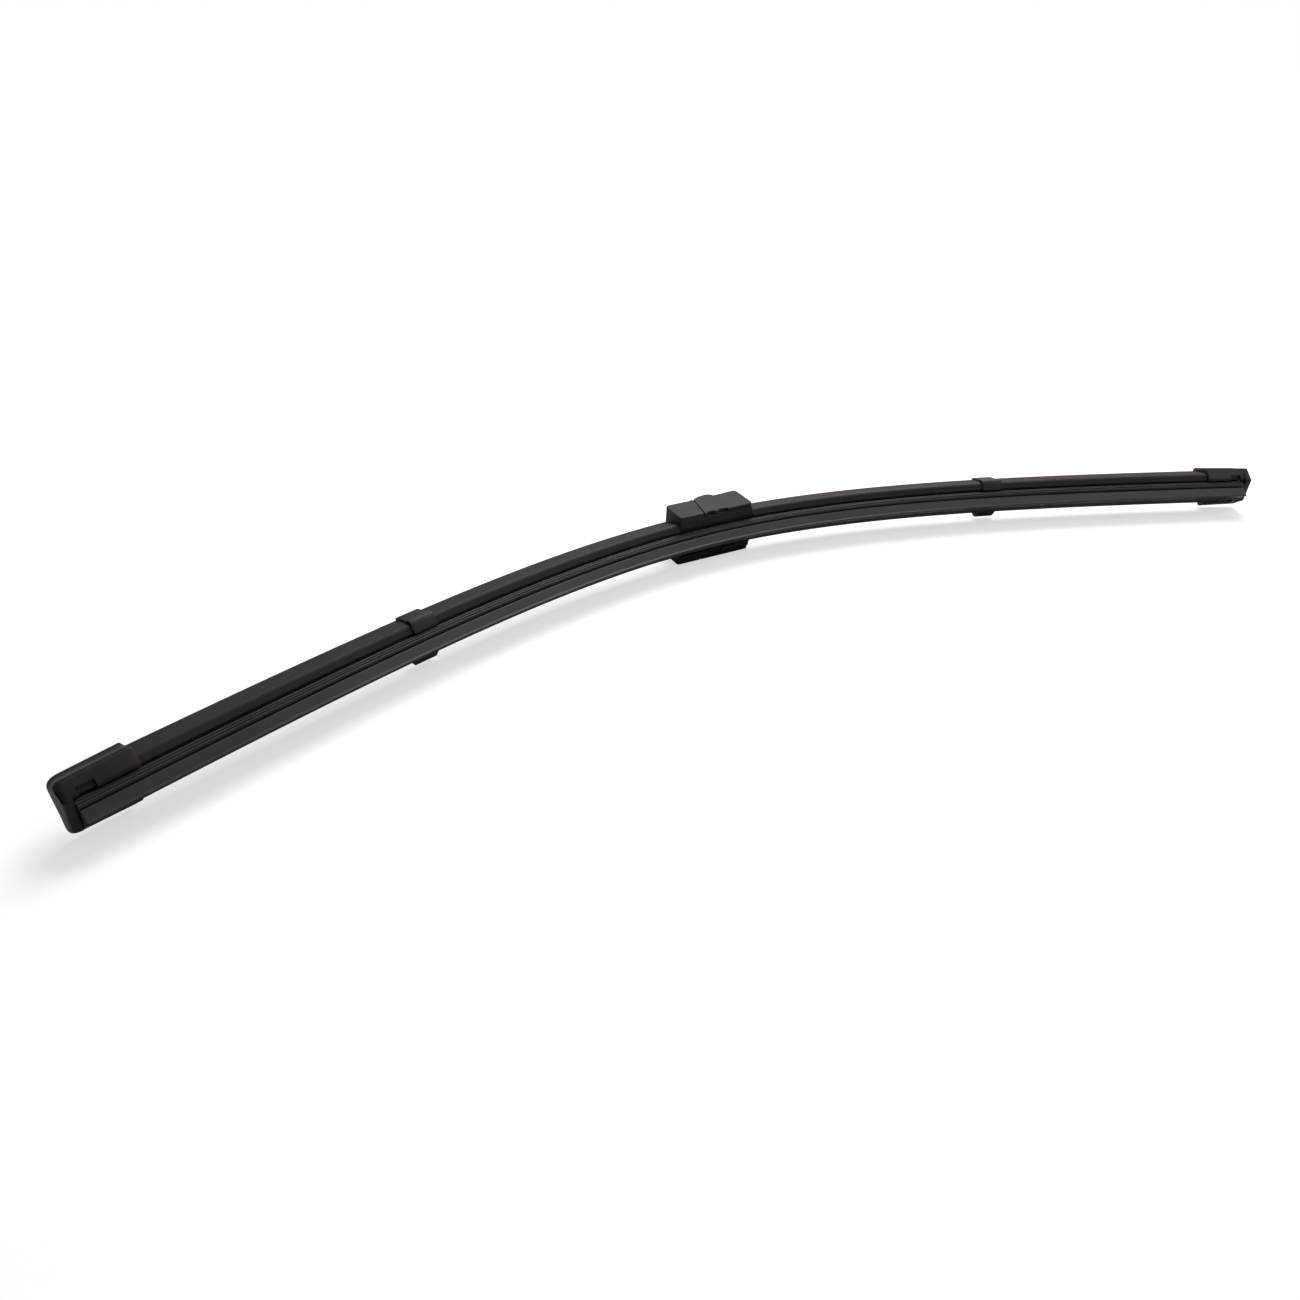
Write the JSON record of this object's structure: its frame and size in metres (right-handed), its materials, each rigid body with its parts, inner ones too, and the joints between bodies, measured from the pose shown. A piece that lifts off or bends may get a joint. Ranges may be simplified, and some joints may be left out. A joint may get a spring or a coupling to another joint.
{
  "type": "flat wiper blade",
  "caption": "Flat bowed wiper blade with steel rails, a rubber lip, a ridged spoiler, end caps and a side-pin connector under a hinged locking cover.",
  "frame": {"origin": "on the axis of the arm pin's bore, in the middle of the blade's width", "axes": "+X along the blade towards its longer half, +Y from the wiping lip to the spoiler, +Z across the blade and up as it lies on its side"},
  "size_m": [0.5276, 0.0917, 0.0222],
  "materials": {
    "rubber": "matt, faintly dusty, with fine lines along the blade",
    "spoiler_rubber": "satin, extruded, with fine lines along the blade",
    "spring_steel": "plain rolled spring steel",
    "clip_steel": "thin black coating, satin",
    "cap_plastic": "black, fine moulded grain",
    "connector_plastic": "black, fine moulded grain"
  },
  "bodies": {
    "blade": {"wiping_rubber": "rubber", "upper_rail": "spring_steel", "lower_rail": "spring_steel", "left_spoiler": "spoiler_rubber", "right_spoiler": "spoiler_rubber", "left_clip": "clip_steel", "right_clip": "clip_steel", "left_cap": "cap_plastic", "right_cap": "cap_plastic", "connector_base": "connector_plastic"},
    "cover": {"locking_cover": "connector_plastic"}
  },
  "joints": [
    {"name": "cover_hinge", "type": "hinge", "parent": "blade", "child": "cover", "pos_m": [0.0032, 0.0048, 0], "axis": [0, 0, 1], "range_deg": [0, 95]}
  ]
}
